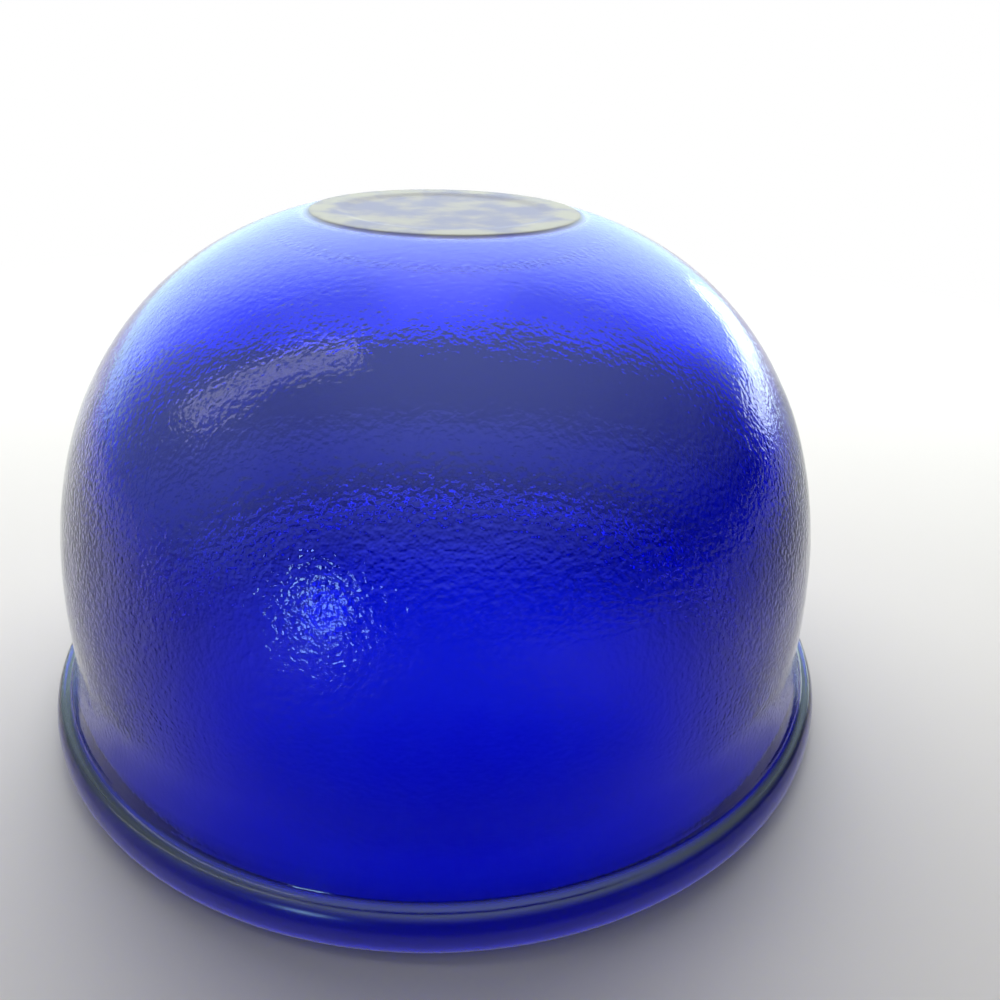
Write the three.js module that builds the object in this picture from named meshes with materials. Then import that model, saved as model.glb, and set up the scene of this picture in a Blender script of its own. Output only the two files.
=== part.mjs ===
// A blown glass bowl, standing upside down on its lip as it does when it is put away to drain.
// Millimetres. z = 0 is the plane that the lip rests on, and +Z runs up the axis and out of the foot.
// Three lots of glass make the bowl: the blown wall, the bead rolled round the lip,
// and the pad on the closed end that is pressed flat to make the foot.

import * as THREE from 'three';

// Driving dimensions of the outside
const RIM_DIAMETER = 120;      // over the bead
const BOWL_HEIGHT = 72.4;      // from the lip's plane to the foot's
const BEAD_PROJECTION = 2.6;   // how far the bead stands out of the wall
const SKIRT_FLARE = 1.5;       // how far the wall spreads from the belly down to the bead
const BELLY_HEIGHT = 16;       // height at which the skirt turns into the dome
const DOME_FULLNESS = 2.4;     // exponent of the dome's outline, where 2 is a plain ellipse
const FOOT_DIAMETER = 35.6;    // over the flat foot

// Driving dimensions of the glass
const LIP_WALL = 3.2;          // wall just above the bead
const DOME_WALL = 3.5;         // wall of the belly and the dome
const BASE_THICKNESS = 4.5;    // of the closed end, from the cavity's ceiling to the foot's plane
const CEILING_ROUND = 1.2;     // height over which the cavity's side turns into its ceiling

// Driving dimensions of the bead
const BEAD_HEIGHT = 6.4;       // from the lip's plane to the groove
const BEAD_CREST = 3.2;        // height of its widest place
const LAND_WIDTH = 1.6;        // flat that the bowl rests on, upside down
const GROOVE_RADIUS = 1.2;     // fillet that runs the wall out onto the bead

// Driving dimensions of the foot
const PAD_THICKNESS = 2;       // of the pad, from its joint with the blown wall to the foot's plane
const FOOT_STEP = 0.2;         // how far the foot's edge stands out of the dome
const FOOT_EDGE = 0.5;         // width of that rounded edge
const RING_WIDTH = 2.8;        // flat ring that the bowl rests on, right way up
const RECESS_DEPTH = 0.3;      // of the pad's middle below the ring
const RECESS_SLOPE = 2.2;      // width of the slope from the ring down to the middle

// How finely the curves are divided
const TURN_STEPS = 72;
const DOME_STEPS = 14;
const CAVITY_STEPS = 12;
const SKIRT_STEPS = 4;
const ROUND_STEPS = 5;
const FILLET_STEPS = 3;
const PAD_SIDE_STEPS = 2;

// Places that follow from the driving dimensions
const rimRadius = RIM_DIAMETER / 2;
const skirtRadius = rimRadius - BEAD_PROJECTION;
const bellyRadius = skirtRadius - SKIRT_FLARE;
const footRadius = FOOT_DIAMETER / 2;
const mouthRadius = skirtRadius - LIP_WALL;
const cavityRadius = bellyRadius - DOME_WALL;
const cavityTop = BOWL_HEIGHT - BASE_THICKNESS;
const padSeat = BOWL_HEIGHT - PAD_THICKNESS;
const seatRadius = skirtRadius + GROOVE_RADIUS;

const at = (radius, height) => new THREE.Vector2(radius, height);

// The dome is one superellipse. It starts upright at the belly and ends at the foot's edge, and its
// height is the one that takes it through that edge.
const domeEnd = at(footRadius + FOOT_EDGE, BOWL_HEIGHT - FOOT_STEP);
const domeRise = (domeEnd.y - BELLY_HEIGHT)
  / (1 - (domeEnd.x / bellyRadius) ** DOME_FULLNESS) ** (1 / DOME_FULLNESS);

// A stretch of a superellipse dome between two heights. With the wall taken off its radius and rise it
// is the dome's inside. Its own angle is 0 at the belly and a quarter turn on the axis.
class DomeStretch extends THREE.Curve {
  constructor(wall, fromHeight, toHeight) {
    super();
    this.radius = bellyRadius - wall;
    this.rise = domeRise - wall;
    this.from = this.angleAt(fromHeight);
    this.to = this.angleAt(toHeight);
  }

  angleAt(height) {
    return Math.asin(((height - BELLY_HEIGHT) / this.rise) ** (DOME_FULLNESS / 2));
  }

  getPoint(t) {
    const angle = THREE.MathUtils.lerp(this.from, this.to, t);
    const power = 2 / DOME_FULLNESS;
    const height = BELLY_HEIGHT + this.rise * Math.sin(angle) ** power;
    return at(this.radius * Math.cos(angle) ** power, height);
  }
}

// Rounds the end of a dome's inside off into the flat ceiling, tangent to both
function ceilingRound(dome) {
  const start = dome.getPoint(1);
  const along = dome.getTangent(1);
  const corner = start.clone().addScaledVector(along, (cavityTop - start.y) / along.y);
  const end = at(corner.x - corner.distanceTo(start), cavityTop);
  return new THREE.QuadraticBezierCurve(start, corner, end);
}

// A skirt leaves the belly upright and flares in a parabola towards the lip
function skirtCurve(topRadius, bottomRadius, bottomHeight) {
  const pull = at(topRadius, (BELLY_HEIGHT + bottomHeight) / 2);
  return new THREE.QuadraticBezierCurve(at(bottomRadius, bottomHeight), pull, at(topRadius, BELLY_HEIGHT));
}

// A quarter of an ellipse between two angles, given in quarter turns from +X
function quarter(centre, width, height, from, to) {
  const right = Math.PI / 2;
  const clockwise = to < from;
  return new THREE.EllipseCurve(centre.x, centre.y, width, height, from * right, to * right, clockwise);
}

// Joins points and divided curves into one outline, without doubling the point where two of them meet
function outline(...pieces) {
  const points = [];
  for (const point of pieces.flat()) {
    const last = points[points.length - 1];
    const doubled = last !== undefined && last.distanceTo(point) < 1e-6;
    if (!doubled) points.push(point);
  }
  return points;
}

function revolve(name, points, material) {
  const geometry = new THREE.LatheGeometry(points, TURN_STEPS);
  geometry.rotateX(Math.PI / 2);
  const mesh = new THREE.Mesh(geometry, material);
  mesh.name = name;
  return mesh;
}

// The blown body. Its outside is flared skirt and dome. Its inside follows them at an even wall, a little
// thinner at the lip, up to a flat ceiling as wide as the foot above it. Both ends are flat seats.
function bowlWall(material) {
  const mouth = at(mouthRadius, BEAD_HEIGHT);
  const filletTop = BEAD_HEIGHT + GROOVE_RADIUS;
  const fillet = quarter(at(seatRadius, filletTop), GROOVE_RADIUS, GROOVE_RADIUS, 3, 2);
  const skirt = skirtCurve(bellyRadius, skirtRadius, filletTop);
  const dome = new DomeStretch(0, BELLY_HEIGHT, padSeat);
  const cavity = new DomeStretch(DOME_WALL, BELLY_HEIGHT, cavityTop - CEILING_ROUND);
  const inside = skirtCurve(cavityRadius, mouthRadius, BEAD_HEIGHT);
  const points = outline(
    at(0, cavityTop),
    ceilingRound(cavity).getPoints(FILLET_STEPS).reverse(),
    cavity.getPoints(CAVITY_STEPS).reverse(),
    inside.getPoints(SKIRT_STEPS).reverse(),
    mouth,
    fillet.getPoints(FILLET_STEPS),
    skirt.getPoints(SKIRT_STEPS),
    dome.getPoints(DOME_STEPS),
    at(0, padSeat),
  );
  return revolve('bowl_wall', points, material);
}

// The bead is rounder outside than inside. Above, it takes the wall's foot on a flat seat,
// and below it has the narrow land that the bowl rests on.
function rimBead(material) {
  const landInner = (mouthRadius + rimRadius - LAND_WIDTH) / 2;
  const landOuter = landInner + LAND_WIDTH;
  const crownHeight = BEAD_HEIGHT - BEAD_CREST;
  const crown = quarter(at(seatRadius, BEAD_CREST), rimRadius - seatRadius, crownHeight, 1, 0);
  const outerLip = quarter(at(landOuter, BEAD_CREST), rimRadius - landOuter, BEAD_CREST, 4, 3);
  const innerLip = quarter(at(landInner, BEAD_CREST), landInner - mouthRadius, BEAD_CREST, 3, 2);
  const points = outline(
    at(mouthRadius, BEAD_HEIGHT),
    crown.getPoints(ROUND_STEPS),
    outerLip.getPoints(ROUND_STEPS),
    innerLip.getPoints(ROUND_STEPS),
    at(mouthRadius, BEAD_HEIGHT),
  );
  return revolve('rim_bead', points.reverse(), material);
}

// The pad carries the dome's outline on to the foot's edge, stands out of it by the step,
// and is flat round the ring and a little hollow in the middle.
function footPad(material) {
  const ringInner = footRadius - RING_WIDTH;
  const hollow = ringInner - RECESS_SLOPE;
  const side = new DomeStretch(0, padSeat, domeEnd.y);
  const edge = quarter(at(footRadius, domeEnd.y), FOOT_EDGE, FOOT_STEP, 0, 1);
  const points = outline(
    at(0, padSeat),
    side.getPoints(PAD_SIDE_STEPS),
    edge.getPoints(FILLET_STEPS),
    at(ringInner, BOWL_HEIGHT),
    at(hollow, BOWL_HEIGHT - RECESS_DEPTH),
    at(0, BOWL_HEIGHT - RECESS_DEPTH),
  );
  return revolve('foot_pad', points, material);
}

// Cobalt glass is clear, smooth and deep blue, and the foot is dulled where it has stood on tables
const cobaltGlass = new THREE.MeshStandardMaterial({ color: 0x0a12b4, roughness: 0.12, metalness: 0 });
const wornGlass = new THREE.MeshStandardMaterial({ color: 0x4a52b8, roughness: 0.4, metalness: 0 });

const bowl = new THREE.Group();
bowl.add(bowlWall(cobaltGlass), rimBead(cobaltGlass.clone()), footPad(wornGlass));

export default bowl;
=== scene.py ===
"""A cobalt blue glass bowl standing upside down on its lip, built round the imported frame. Metres."""

import math
from types import SimpleNamespace
from typing import NamedTuple

import bpy
import numpy as np
from mathutils import Matrix, Vector, noise


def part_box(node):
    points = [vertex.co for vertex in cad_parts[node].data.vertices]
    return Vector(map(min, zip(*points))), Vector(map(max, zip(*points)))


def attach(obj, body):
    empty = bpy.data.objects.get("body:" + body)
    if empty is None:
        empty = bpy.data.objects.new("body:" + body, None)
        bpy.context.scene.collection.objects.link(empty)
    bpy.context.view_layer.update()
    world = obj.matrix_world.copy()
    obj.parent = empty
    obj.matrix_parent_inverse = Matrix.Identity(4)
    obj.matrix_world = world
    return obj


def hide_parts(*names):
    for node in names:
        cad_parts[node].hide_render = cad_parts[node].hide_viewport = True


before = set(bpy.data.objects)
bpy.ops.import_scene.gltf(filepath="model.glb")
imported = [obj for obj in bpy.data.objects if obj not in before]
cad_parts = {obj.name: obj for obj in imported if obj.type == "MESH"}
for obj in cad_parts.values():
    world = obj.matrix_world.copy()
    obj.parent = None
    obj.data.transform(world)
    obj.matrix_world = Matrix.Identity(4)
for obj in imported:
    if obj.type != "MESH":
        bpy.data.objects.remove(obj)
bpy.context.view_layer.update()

# The outline's sizes that the frame gives
RIM_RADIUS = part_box("rim_bead")[1].x
BEAD_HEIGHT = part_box("rim_bead")[1].z
SEAT_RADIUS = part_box("bowl_wall")[1].x
FOOT_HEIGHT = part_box("foot_pad")[1].z

# The outline's sizes that it doesn't give, the same as in the solids
BEAD_PROJECTION = 0.0026
BEAD_CREST = 0.0032
LAND_WIDTH = 0.0016
SKIRT_FLARE = 0.0015
BELLY_HEIGHT = 0.016
DOME_FULLNESS = 2.4
LIP_WALL = 0.0032
DOME_WALL = 0.0035
BASE_THICKNESS = 0.0045
CEILING_ROUND = 0.0012
FOOT_RADIUS = 0.0178
FOOT_STEP = 0.0002
FOOT_EDGE = 0.0005
RING_WIDTH = 0.0028
RECESS_DEPTH = 0.0003
RECESS_SLOPE = 0.0022

# Places that follow from them
SKIRT_RADIUS = RIM_RADIUS - BEAD_PROJECTION
BELLY_RADIUS = SKIRT_RADIUS - SKIRT_FLARE
MOUTH_RADIUS = SKIRT_RADIUS - LIP_WALL
GROOVE_RADIUS = SEAT_RADIUS - SKIRT_RADIUS
GROOVE_TOP = BEAD_HEIGHT + GROOVE_RADIUS
CAVITY_RADIUS = BELLY_RADIUS - DOME_WALL
CAVITY_TOP = FOOT_HEIGHT - BASE_THICKNESS
DOME_TOP = FOOT_HEIGHT - FOOT_STEP

# How finely the glass is divided, round its axis and along each stretch of its outline
TURN_STEPS = 480
MIDDLE_STEPS = 9
SLOPE_STEPS = 6
RING_STEPS = 5
EDGE_STEPS = 5
DOME_STEPS = 83
SKIRT_STEPS = 20
GROOVE_STEPS = 5
BEAD_STEPS = 8
INNER_SKIRT_STEPS = 7
INNER_DOME_STEPS = 23
CEILING_STEPS = 7

# Two points of the outline that are closer than this are one
SAME_PLACE = 1e-7


# Camera, at the photograph's viewing angle

CAMERA_PLACE = (0.0, -0.1269, 0.0926)
CAMERA_PITCH = 26.88
CAMERA_YAW = 3.92
CAMERA_ROLL = 1.93
CAMERA_LENS = 32.4
CAMERA_NEAREST = 0.005


def make_camera():
    pitch, yaw, roll = (math.radians(a) for a in (CAMERA_PITCH, CAMERA_YAW, CAMERA_ROLL))
    ahead = Vector((math.sin(yaw) * math.cos(pitch), math.cos(yaw) * math.cos(pitch), -math.sin(pitch)))
    level = Vector((math.cos(yaw), -math.sin(yaw), 0))
    upright = level.cross(ahead)
    right = level * math.cos(roll) + upright * math.sin(roll)
    up = upright * math.cos(roll) - level * math.sin(roll)
    camera = bpy.data.objects.new("camera", bpy.data.cameras.new("camera"))
    camera.data.lens = CAMERA_LENS
    camera.data.clip_start = CAMERA_NEAREST
    turn = Matrix((right, up, -ahead)).transposed().to_4x4()
    camera.matrix_world = Matrix.Translation(CAMERA_PLACE) @ turn
    bpy.context.scene.collection.objects.link(camera)
    bpy.context.scene.camera = camera


# Curves that the outline is made of, each an array of (radius, height) points

def line(start, stop, count):
    t = np.linspace(0, 1, count + 1)[:, None]
    return np.array(start) * (1 - t) + np.array(stop) * t


def arc(centre, size, start, stop, count):
    """Part of an ellipse of this half width and half height, between two angles in degrees."""
    t = np.radians(np.linspace(start, stop, count + 1))
    return np.stack([centre[0] + size[0] * np.cos(t), centre[1] + size[1] * np.sin(t)], 1)


def slope(start, stop, count):
    """A slope that is level at both ends."""
    t = np.linspace(0, 1, count + 1)
    eased = t * t * (3 - 2 * t)
    return np.stack([start[0] + (stop[0] - start[0]) * t, start[1] + (stop[1] - start[1]) * eased], 1)


def skirt(top_radius, bottom_radius, bottom_height, count):
    """A parabola that leaves the belly upright and spreads down to the lip."""
    height = np.linspace(BELLY_HEIGHT, bottom_height, count + 1)
    drop = (BELLY_HEIGHT - height) / (BELLY_HEIGHT - bottom_height)
    return np.stack([top_radius + (bottom_radius - top_radius) * drop ** 2, height], 1)


def dome(wall, top, count):
    """The superellipse from a height down to the belly, with a wall taken off its radius and rise."""
    e = DOME_FULLNESS
    edge = (FOOT_RADIUS + FOOT_EDGE) / BELLY_RADIUS
    rise = (DOME_TOP - BELLY_HEIGHT) / (1 - edge ** e) ** (1 / e) - wall
    first = math.asin(((top - BELLY_HEIGHT) / rise) ** (e / 2))
    t = np.linspace(first, 0, count + 1)
    radius = (BELLY_RADIUS - wall) * np.cos(t) ** (2 / e)
    return np.stack([radius, BELLY_HEIGHT + rise * np.sin(t) ** (2 / e)], 1)


def ceiling(side, count):
    """From the top of the cavity's side, in a round that is tangent to both, to the ceiling's middle."""
    start, along = side[0], side[0] - side[1]
    corner = start + along * (CAVITY_TOP - start[1]) / along[1]
    end = corner - (np.hypot(*(corner - start)), 0)
    t = np.linspace(0, 1, count + 1)[:, None]
    bend = (1 - t) ** 2 * start + 2 * t * (1 - t) * corner + t * t * end
    return np.concatenate([bend, line(end, (0, CAVITY_TOP), count)[1:]])


# Roughness of the glass where it was left from the fire, rolled, worked with a tool, and ground
POLISHED, ROLLED, WORKED, GROUND = 0.02, 0.22, 0.32, 0.65


class Finish(NamedTuple):
    """What a stretch is like: its roughness, and as shares how uneven and how worn its skin is, and how
    much of the bead's painted shade it gets."""
    rough: float
    uneven: float = 0.0
    wear: float = 0.0
    bead_shade: float = 0.0


FOOT_MIDDLE = Finish(GROUND, wear=0.9)
FOOT_SLOPE = Finish(GROUND, wear=0.92)
FOOT_RING = Finish(GROUND, wear=1.0)
OUTSIDE = Finish(POLISHED, uneven=1.0)
# The groove, crown and outer lip take the bead's painted shade, the groove at a share
GROOVE = Finish(POLISHED, uneven=0.5, bead_shade=0.4)
BEAD_CROWN = Finish(ROLLED, uneven=0.35, bead_shade=1.0)
OUTER_LIP = Finish(ROLLED, uneven=0.25, bead_shade=1.0)
INNER_LIP = Finish(WORKED)
INSIDE = Finish(POLISHED)
CEILING = Finish(WORKED)


# The outline of the fused glass, from the foot's middle round to the cavity's top

def foot():
    """The hollow middle, the slope up to the flat ring, and the ring's rounded edge."""
    ring_inner = FOOT_RADIUS - RING_WIDTH
    hollow = (ring_inner - RECESS_SLOPE, FOOT_HEIGHT - RECESS_DEPTH)
    return [
        (line((0, hollow[1]), hollow, MIDDLE_STEPS), FOOT_MIDDLE),
        (slope(hollow, (ring_inner, FOOT_HEIGHT), SLOPE_STEPS), FOOT_SLOPE),
        (line((ring_inner, FOOT_HEIGHT), (FOOT_RADIUS, FOOT_HEIGHT), RING_STEPS), FOOT_RING),
        (arc((FOOT_RADIUS, DOME_TOP), (FOOT_EDGE, FOOT_STEP), 90, 0, EDGE_STEPS), FOOT_RING),
    ]


def outside():
    """The dome, the flared skirt, and the fillet that runs out onto the bead."""
    return [
        (dome(0, DOME_TOP, DOME_STEPS), OUTSIDE),
        (skirt(BELLY_RADIUS, SKIRT_RADIUS, GROOVE_TOP, SKIRT_STEPS), OUTSIDE),
        (arc((SEAT_RADIUS, GROOVE_TOP), (GROOVE_RADIUS, GROOVE_RADIUS), 180, 270, GROOVE_STEPS), GROOVE),
    ]


def bead():
    """The crown, the round from its widest place to the land, and the round up into the mouth."""
    land_inner = (MOUTH_RADIUS + RIM_RADIUS - LAND_WIDTH) / 2
    land_outer = land_inner + LAND_WIDTH
    crown = (RIM_RADIUS - SEAT_RADIUS, BEAD_HEIGHT - BEAD_CREST)
    outer = (RIM_RADIUS - land_outer, BEAD_CREST)
    inner = (land_inner - MOUTH_RADIUS, BEAD_CREST)
    return [
        (arc((SEAT_RADIUS, BEAD_CREST), crown, 90, 0, BEAD_STEPS), BEAD_CROWN),
        (arc((land_outer, BEAD_CREST), outer, 0, -90, BEAD_STEPS), OUTER_LIP),
        (arc((land_inner, BEAD_CREST), inner, -90, -180, BEAD_STEPS), INNER_LIP),
    ]


def cavity():
    """The inside of the skirt and of the dome, from the mouth up, and the ceiling."""
    inner_skirt = skirt(CAVITY_RADIUS, MOUTH_RADIUS, BEAD_HEIGHT, INNER_SKIRT_STEPS)
    inner_dome = dome(DOME_WALL, CAVITY_TOP - CEILING_ROUND, INNER_DOME_STEPS)
    return [
        (inner_skirt[::-1], INSIDE),
        (inner_dome[::-1], INSIDE),
        (ceiling(inner_dome, CEILING_STEPS), CEILING),
    ]


def smoothed(values, passes=3):
    """Values along the outline, each blended with its neighbours so that no zone has a hard edge."""
    for _ in range(passes):
        values = np.convolve(np.pad(values, 1, mode="edge"), (0.25, 0.5, 0.25), mode="valid")
    return values


def outline():
    """The points of the whole outline, and a finish that holds the values at each of them."""
    points, finishes = [], []
    for stretch, finish in [*foot(), *outside(), *bead(), *cavity()]:
        for point in stretch:
            doubled = points and np.hypot(*(point - points[-1])) < SAME_PLACE
            if not doubled:
                points.append(point)
                finishes.append(finish)
    return np.array(points), Finish(*map(smoothed, np.array(finishes).T))


# The skin: waves that are wide enough for the mesh to carry, each a length and a height
WAVES = ((0.0030, 0.000020), (0.0065, 0.000050))

# What sets one wave's pattern apart from the next one's
WAVE_SHIFT = 1e4

# The waves are even over the dome and almost die out round the foot
WAVE_HEIGHTS = (0.064, 0.071)
WAVE_SHARES = (1.0, 0.15)
LEAST_WAVE_SHARE = 0.01

# The orange peel is shallower near the foot, where the gather was worked most, and fades towards the bead
PEEL_HEIGHTS = (0.009, 0.022, 0.042, 0.062)
PEEL_SHARES = (0.15, 0.65, 1.0, 0.35)

# The glass round the foot is a little hazy
HAZE_HEIGHTS = (0.064, 0.0715)
HAZE = (0.0, 0.24)


def waves(point):
    """How far the skin stands in from its outline at a point. It never stands out of it."""
    depth = 0.0
    for length, height in WAVES:
        shift = Vector((length * WAVE_SHIFT, 0, 0))
        depth += height * (1 + noise.noise(Vector(point) / length + shift))
    return depth


def normals(points):
    """The direction out of the glass, square to the outline, at each of its points."""
    along = np.gradient(points, axis=0)
    across = np.stack([-along[:, 1], along[:, 0]], 1)
    return across / np.linalg.norm(across, axis=1)[:, None]


def turned(points, wavy):
    """One circle of vertices for each point of the outline but its two ends, with the waves pressed in."""
    turn = np.linspace(0, 2 * math.pi, TURN_STEPS, endpoint=False)
    cos, sin = np.cos(turn), np.sin(turn)
    circles = []
    for (radius, height), (out, up), share in zip(points[1:-1], normals(points)[1:-1], wavy[1:-1]):
        circle = np.stack([radius * cos, radius * sin, np.full_like(turn, height)], 1)
        if share > LEAST_WAVE_SHARE:
            depth = share * np.array([waves(point) for point in circle])
            circle -= depth[:, None] * np.stack([out * cos, out * sin, np.full_like(turn, up)], 1)
        circles.append(circle)
    return circles


def faces(circle_count):
    """Quads between neighbouring circles, and a fan of triangles round each end of the axis."""
    here = np.arange(TURN_STEPS)
    after = (here + 1) % TURN_STEPS
    firsts = 1 + TURN_STEPS * np.arange(circle_count)
    end = 1 + TURN_STEPS * circle_count
    quads = [np.stack([a + here, b + here, b + after, a + after], 1) for a, b in zip(firsts, firsts[1:])]
    foot_fan = np.stack([np.zeros_like(here), 1 + here, 1 + after], 1)
    ceiling_fan = np.stack([firsts[-1] + after, firsts[-1] + here, np.full_like(here, end)], 1)
    return np.concatenate(quads).tolist() + foot_fan.tolist() + ceiling_fan.tolist()


def glass_mesh():
    """The closed mesh, with the values that its material reads as attributes."""
    points, finish = outline()
    height = points[:, 1]
    circles = turned(points, finish.uneven * np.interp(height, WAVE_HEIGHTS, WAVE_SHARES))
    vertices = np.concatenate([[[0, 0, height[0]]], *circles, [[0, 0, height[-1]]]])
    mesh = bpy.data.meshes.new("glass_bowl")
    mesh.from_pydata(vertices.tolist(), [], faces(len(circles)))
    attributes = {
        "peel": finish.uneven * np.interp(height, PEEL_HEIGHTS, PEEL_SHARES),
        "wear": finish.wear,
        "rough": np.maximum(finish.rough, np.interp(height, HAZE_HEIGHTS, HAZE)),
        "bead_shade": finish.bead_shade,
    }
    for name, values in attributes.items():
        each = np.concatenate([values[:1], np.repeat(values[1:-1], TURN_STEPS), values[-1:]])
        mesh.attributes.new(name, "FLOAT", "POINT").data.foreach_set("value", each.astype(np.float32))
    mesh.shade_smooth()
    mesh.validate()
    return mesh


# Shading nodes

WHITE = (1.0, 1.0, 1.0)


class Graph:
    """The nodes of a material or of the world. A value is a number, a tuple or another node's output."""

    def __init__(self, owner):
        owner.use_nodes = True
        self.nodes = owner.node_tree.nodes
        self.links = owner.node_tree.links

    def put(self, socket, value):
        """Links an output to a socket, or sets a number, a place or a colour on it."""
        if isinstance(value, bpy.types.NodeSocket):
            self.links.new(value, socket)
        elif socket.type == "RGBA":
            socket.default_value = (*value, 1.0)
        else:
            socket.default_value = value

    def node(self, kind, *values, **settings):
        """Adds a node with these settings, puts the values on its first inputs and gives its outputs."""
        node = self.nodes.new("ShaderNode" + kind)
        for name, setting in settings.items():
            setattr(node, name, setting)
        for socket, value in zip(node.inputs, values):
            self.put(socket, value)
        return node.outputs

    def math(self, operation, *values):
        return self.node("Math", *values, operation=operation)[0]

    def product(self, first, *others):
        for other in others:
            first = self.math("MULTIPLY", first, other)
        return first

    def largest(self, first, *others):
        for other in others:
            first = self.math("MAXIMUM", first, other)
        return first

    def ease(self, value, start, end, low=0.0, high=1.0):
        """Goes smoothly from low to high as the value goes from start to end, and stays level outside."""
        return self.node("MapRange", value, start, end, low, high, interpolation_type="SMOOTHSTEP")[0]

    def band(self, value, limits):
        """1 between the two middle limits, and eased to 0 at the outer two."""
        return self.product(self.ease(value, *limits[:2]), self.ease(value, *limits[2:], 1, 0))

    def blend(self, share, first, second):
        """Mixes two colours."""
        node = self.nodes.new("ShaderNodeMix")
        node.data_type = "RGBA"
        for name, value in (("Factor", share), ("A", first), ("B", second)):
            self.put(node.inputs[name], value)
        return node.outputs["Result"]

    def noise(self, place, scale, detail):
        node = self.nodes.new("ShaderNodeTexNoise")
        for name, value in (("Vector", place), ("Scale", scale), ("Detail", detail)):
            self.put(node.inputs[name], value)
        return node.outputs["Fac"]

    def attribute(self, name):
        return self.node("Attribute", attribute_name=name)["Fac"]

    def distance(self, place, centre):
        return self.node("VectorMath", place, centre, operation="DISTANCE")["Value"]


# Glass

GLASS_IOR = 1.52
GLASS_HUE = (0.01, 0.25, 0.949)
GLASS_DENSITY = 900

# The orange peel: how many cells a metre, how broken they are, and how deep
PEEL_SCALE = 1500
PEEL_DETAIL = 1.2
PEEL_DEPTH = 0.00014

# The foot's clouds. Between the limits the glass goes from the first share of ground to the second, and
# where it is all ground it stays a little clear.
CLOUD_SCALE = 190
CLOUD_DETAIL = 4
GROUND_LIMITS = (0.35, 0.6)
GROUND_SHARES = (0.88, 1.0)
GROUND_CLEAR = 0.04

# The foot's chalky colours, and the values between which clear glass turns chalky, lavender turns grey,
# and grey turns cream where the wear and a share of the clouds add up
LAVENDER, GREY, CREAM = (0.33, 0.32, 0.43), (0.46, 0.43, 0.42), (0.53, 0.51, 0.43)
CHALK_LIMITS = (0.1, 0.6)
GREY_LIMITS = (0.36, 0.64)
CREAM_LIMITS = (1.10, 1.24)
CREAM_CLOUDS = 0.4

# The bead's painted shade: a darker colour on its outside that stands in for shade
BEAD_PAINTED_SHADE = (0.5, 0.5, 0.42)


def cobalt_glass():
    """Clear glass that is blue in its depth, with an orange peel outside and a ground, clouded foot."""
    material = bpy.data.materials.new("cobalt_glass")
    graph = Graph(material)
    shader = graph.nodes["Principled BSDF"].inputs
    shader["IOR"].default_value = GLASS_IOR
    # These two are linked below, and are clear glass to what doesn't follow the links
    shader["Transmission Weight"].default_value = 1.0
    shader["Base Color"].default_value = (*WHITE, 1.0)
    place = graph.node("TexCoord")["Object"]
    from_outside = graph.ease(graph.node("NewGeometry")["Backfacing"], 0, 1, 1, 0)

    peel = graph.product(graph.attribute("peel"), from_outside)
    height = graph.product(graph.noise(place, PEEL_SCALE, PEEL_DETAIL), peel)
    bump = graph.nodes.new("ShaderNodeBump")
    bump.inputs["Distance"].default_value = PEEL_DEPTH
    graph.put(bump.inputs["Height"], height)
    graph.put(shader["Normal"], bump.outputs["Normal"])
    graph.put(shader["Roughness"], graph.attribute("rough"))

    clouds = graph.noise(place, CLOUD_SCALE, CLOUD_DETAIL)
    wear = graph.attribute("wear")
    worn = graph.product(wear, from_outside)
    ground = graph.product(graph.ease(clouds, *GROUND_LIMITS, *GROUND_SHARES), worn)
    graph.put(shader["Transmission Weight"], graph.ease(ground, 0.0, 1.0, 1.0, GROUND_CLEAR))

    patches = graph.math("ADD", wear, graph.product(clouds, CREAM_CLOUDS))
    chalk = graph.blend(graph.ease(clouds, *GREY_LIMITS), LAVENDER, GREY)
    chalk = graph.blend(graph.ease(patches, *CREAM_LIMITS), chalk, CREAM)
    # Clear glass, with painted shade on the bead and, at a share, on the groove, seen from outside
    clear_or_bead_shade = graph.blend(graph.product(graph.attribute("bead_shade"), from_outside), WHITE, BEAD_PAINTED_SHADE)
    graph.put(shader["Base Color"], graph.blend(graph.ease(worn, *CHALK_LIMITS), clear_or_bead_shade, chalk))

    absorption = graph.nodes.new("ShaderNodeVolumeAbsorption")
    absorption.inputs["Color"].default_value = (*GLASS_HUE, 1.0)
    absorption.inputs["Density"].default_value = GLASS_DENSITY
    graph.put(graph.nodes["Material Output"].inputs["Volume"], absorption.outputs[0])
    return material


def make_bowl():
    bowl = bpy.data.objects.new("glass_bowl", glass_mesh())
    bowl.data.materials.append(cobalt_glass())
    bpy.context.scene.collection.objects.link(bowl)
    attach(bowl, "root")
    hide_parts("bowl_wall", "rim_bead", "foot_pad")


# Floor

FLOOR_HALF = 3.0
FLOOR_COLOUR = (0.74, 0.71, 0.68)
FLOOR_ROUGHNESS = 0.6

# Painted shade that only the glass sees. A shade is how light the paint stays where shade is painted,
# and limits are where it starts and is full. Four distances are a ring: where it starts, is full, is no
# longer full, and ends.
DARK_CENTRE = (0.0, -0.012, 0.0)
DARK_RING = (0.024, 0.090, 0.230, 0.257)
DARK_RING_SHADE = 0.02
# A painted pool of light inside the dark ring
POOL = (0.070, 0.078, 0.088, 0.125)
POOL_LIGHT = 0.25
FRONT_LIMITS = (-0.09, -0.01)
FRONT_SHADE = 0.04
FRONT_SIDES = (0.03, 0.10)
FRONT_SIDES_SHARE = 0.62
INNER_RIM = (0.036, 0.046, 0.053, 0.056)
RIGHT_LIMITS = (0.08, 0.16)
RIGHT_SHADE = 0.45
UNDER_BEAD = (0.053, 0.056, 0.064, 0.068)
UNDER_BEAD_SHADE = 0.15

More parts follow.
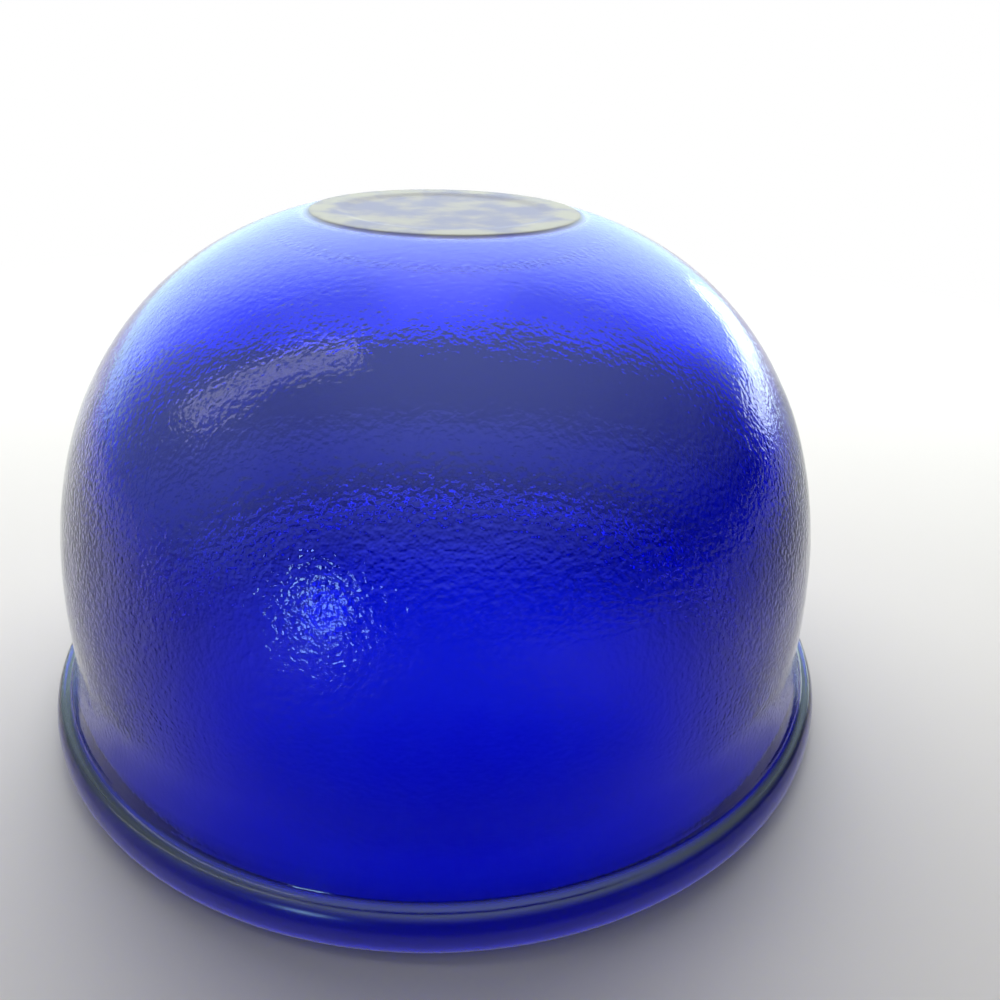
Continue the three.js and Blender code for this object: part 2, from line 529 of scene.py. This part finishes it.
# Where the paint gives way to plain white, and how much of it does round the bead. Behind the bowl and
# round the bead the white is a painted reflection, seen only in what the glass mirrors.
FADE = (0.16, 0.34)
BEHIND = (0.03, 0.12)
BEHIND_SPREAD = 0.8
BEAD_PAINTED_REFLECTION_RING = (0.055, 0.058, 0.064, 0.069)
BEAD_PAINTED_REFLECTION = 0.25


def floor_values(graph):
    """The places on the floor and the kinds of ray that the paint goes by."""
    place = graph.node("TexCoord")["Object"]
    parts = graph.node("SeparateXYZ", place)
    ray = graph.node("LightPath")
    return SimpleNamespace(
        x=parts["X"],
        y=parts["Y"],
        aside=graph.math("ABSOLUTE", parts["X"]),
        from_axis=graph.distance(place, (0, 0, 0)),
        from_dark_centre=graph.distance(place, DARK_CENTRE),
        seen=ray["Is Camera Ray"],
        sent_on=ray["Is Transmission Ray"],
        glossy=ray["Is Glossy Ray"],
        mirrored=graph.math("SUBTRACT", ray["Is Glossy Ray"], ray["Is Transmission Ray"]),
    )


def painted_shade_share(graph, floor):
    """The painted shade that the glass sees on the paint: in a wide ring round the bowl with a painted
    pool of light in it, in front except near the rim's inside, at the right, and under the bead."""
    # Painted shade in a ring round the bowl, seen through the glass, lightened by the painted pool
    ring = graph.product(graph.band(floor.from_dark_centre, DARK_RING), floor.sent_on, 1 - DARK_RING_SHADE)
    pool = graph.product(graph.band(floor.from_axis, POOL), POOL_LIGHT)
    ring = graph.math("SUBTRACT", ring, graph.product(ring, pool))
    # Painted shade in front of the bowl, in what the glass mirrors and sends on
    front = graph.ease(floor.y, *FRONT_LIMITS, 1 - FRONT_SHADE, 0)
    sides = graph.ease(floor.aside, *FRONT_SIDES, 1, FRONT_SIDES_SHARE)
    off_rim = graph.math("SUBTRACT", 1.0, graph.band(floor.from_axis, INNER_RIM))
    front = graph.product(front, floor.glossy, sides, off_rim)
    # Painted shade at the right, in what the glass mirrors
    right = graph.product(graph.ease(floor.x, *RIGHT_LIMITS, 0, 1 - RIGHT_SHADE), floor.mirrored)
    # Painted shade under the bead, seen through the glass
    under = graph.product(graph.band(floor.from_axis, UNDER_BEAD), 1 - UNDER_BEAD_SHADE, floor.sent_on)
    return graph.largest(ring, front, under, right)


def white_share(graph, floor):
    """How much of the paint gives way to white: far off to the camera, beyond the dark ring through the
    glass, and as painted reflections behind the bowl and a little round the bead."""
    near = graph.product(graph.ease(floor.from_axis, *FADE), floor.seen)
    far = graph.product(graph.ease(floor.from_dark_centre, *DARK_RING[2:]), floor.sent_on)
    # A painted reflection of white behind the bowl, in what the glass mirrors
    behind = graph.math("SUBTRACT", floor.y, graph.product(floor.aside, BEHIND_SPREAD))
    behind = graph.product(graph.ease(behind, *BEHIND), floor.mirrored)
    # A painted reflection of white round the bead, in what the glass mirrors
    painted_bead_reflection = graph.product(graph.band(floor.from_axis, BEAD_PAINTED_REFLECTION_RING), BEAD_PAINTED_REFLECTION, floor.mirrored)
    return graph.largest(near, far, behind, painted_bead_reflection)


def floor_paint():
    """Pale paint that fades to white far off. Its painted shade, painted pool of light and painted
    reflections show only in what the glass sends on or mirrors."""
    material = bpy.data.materials.new("floor_paint")
    graph = Graph(material)
    floor = floor_values(graph)
    shader = graph.nodes["Principled BSDF"]
    shader.inputs["Roughness"].default_value = FLOOR_ROUGHNESS
    light = graph.math("SUBTRACT", 1.0, painted_shade_share(graph, floor))
    colour = graph.nodes.new("ShaderNodeVectorMath")
    colour.operation = "SCALE"
    colour.inputs[0].default_value = FLOOR_COLOUR
    graph.put(colour.inputs["Scale"], light)
    graph.put(shader.inputs["Base Color"], colour.outputs[0])
    white = graph.node("Emission")[0]
    surface = graph.node("MixShader", white_share(graph, floor), shader.outputs[0], white)[0]
    graph.put(graph.nodes["Material Output"].inputs["Surface"], surface)
    return material


def make_floor():
    mesh = bpy.data.meshes.new("floor")
    h = FLOOR_HALF
    mesh.from_pydata([(-h, -h, 0), (h, -h, 0), (h, h, 0), (-h, h, 0)], [], [(0, 1, 2, 3)])
    mesh.materials.append(floor_paint())
    floor = bpy.data.objects.new("floor", mesh)
    bpy.context.scene.collection.objects.link(floor)


# World

# A glow's limits are how much of a direction points its way, from where it starts to where it is full
OVERHEAD_GLOW = 1.32
OVERHEAD_POWER = 1.5
OVERHEAD_COLOUR = (1.0, 1.27, 1.27)
LEFT_GLOW = 0.45
LEFT_LIMITS = (0.55, 0.95)
BACK_GLOW = 1.6
BACK_LIMITS = (0.35, 0.8)
BACK_COLOUR = (1.0, 1.38, 1.45)
SOFT_LIGHT = 0.19


def make_world():
    """White behind the bowl and through it. Its reflections see a glow overhead that reaches down at the
    left, and a glow behind, and everything is lit evenly and softly."""
    world = bpy.data.worlds.new("world")
    bpy.context.scene.world = world
    graph = Graph(world)
    parts = graph.node("SeparateXYZ", graph.node("TexCoord")["Generated"])
    ray = graph.node("LightPath")
    height = graph.math("MAXIMUM", parts["Z"], 0.0)
    sky = graph.product(graph.math("POWER", height, OVERHEAD_POWER), OVERHEAD_GLOW)
    left = graph.ease(graph.product(parts["X"], -1.0), *LEFT_LIMITS, 0, LEFT_GLOW)
    back = graph.ease(parts["Y"], *BACK_LIMITS, 0, BACK_GLOW)
    above = graph.node("Background", OVERHEAD_COLOUR, graph.math("ADD", sky, left))[0]
    behind = graph.node("Background", BACK_COLOUR, back)[0]
    reflected = graph.node("AddShader", above, behind)[0]
    soft = graph.node("Background", WHITE, SOFT_LIGHT)[0]
    white = graph.node("Background", WHITE, 1.0)[0]
    around = graph.node("MixShader", ray["Is Glossy Ray"], soft, reflected)[0]
    seen = graph.largest(ray["Is Camera Ray"], ray["Is Transmission Ray"])
    surface = graph.node("MixShader", seen, around, white)[0]
    graph.put(graph.nodes["World Output"].inputs["Surface"], surface)


# Lamps

def area_lamp(name, place, aim, size, radiance, colour=WHITE, glossy=True, transmission=True):
    """A soft panel that the camera doesn't see. Its radiance is its power over pi and its area."""
    data = bpy.data.lights.new(name, "AREA")
    data.shape = "RECTANGLE"
    data.size, data.size_y = size
    data.energy = radiance * math.pi * size[0] * size[1]
    data.color = colour
    lamp = bpy.data.objects.new(name, data)
    lamp.location = place
    lamp.rotation_euler = (Vector(aim) - Vector(place)).to_track_quat("-Z", "Y").to_euler()
    lamp.visible_camera = False
    lamp.visible_glossy = glossy
    lamp.visible_transmission = transmission
    bpy.context.scene.collection.objects.link(lamp)


def make_lamps():
    """Three lamps light the bowl from behind and above. The other three are its highlights: the sheen at
    the right, the streak at the upper left, and the speckled spot low at the left."""
    area_lamp("light_box", place=(0, 0.20, 0.035), aim=(0, 0, 0.035), size=(0.80, 0.05),
              radiance=0.4, glossy=False)
    area_lamp("back_light", place=(0, 0.50, 0.34), aim=(0, 0, 0.03), size=(1.4, 0.5),
              radiance=3.4, glossy=False)
    area_lamp("top_light", place=(0, 0.27, 0.75), aim=(0, 0, 0.03), size=(0.3, 0.3),
              radiance=3.8, glossy=False)
    area_lamp("sheen_strip", place=(2.148, 2.074, 0.338), aim=(0, 0, 0.05), size=(1.75, 0.60),
              radiance=3.0, colour=(0.9, 1, 1), transmission=False)
    area_lamp("side_strip", place=(-0.57, 0.01, 0.68), aim=(-0.018, -0.036, 0.060), size=(0.12, 0.72),
              radiance=1.7)
    area_lamp("key_lamp", place=(-0.3364, -0.5556, 0.0572), aim=(-0.0124, -0.0510, 0.0416),
              size=(0.11, 0.11), radiance=10.0, colour=(0.42, 0.72, 0.9))


bpy.context.scene.view_settings.view_transform = "Standard"
make_camera()
make_bowl()
make_floor()
make_world()
make_lamps()
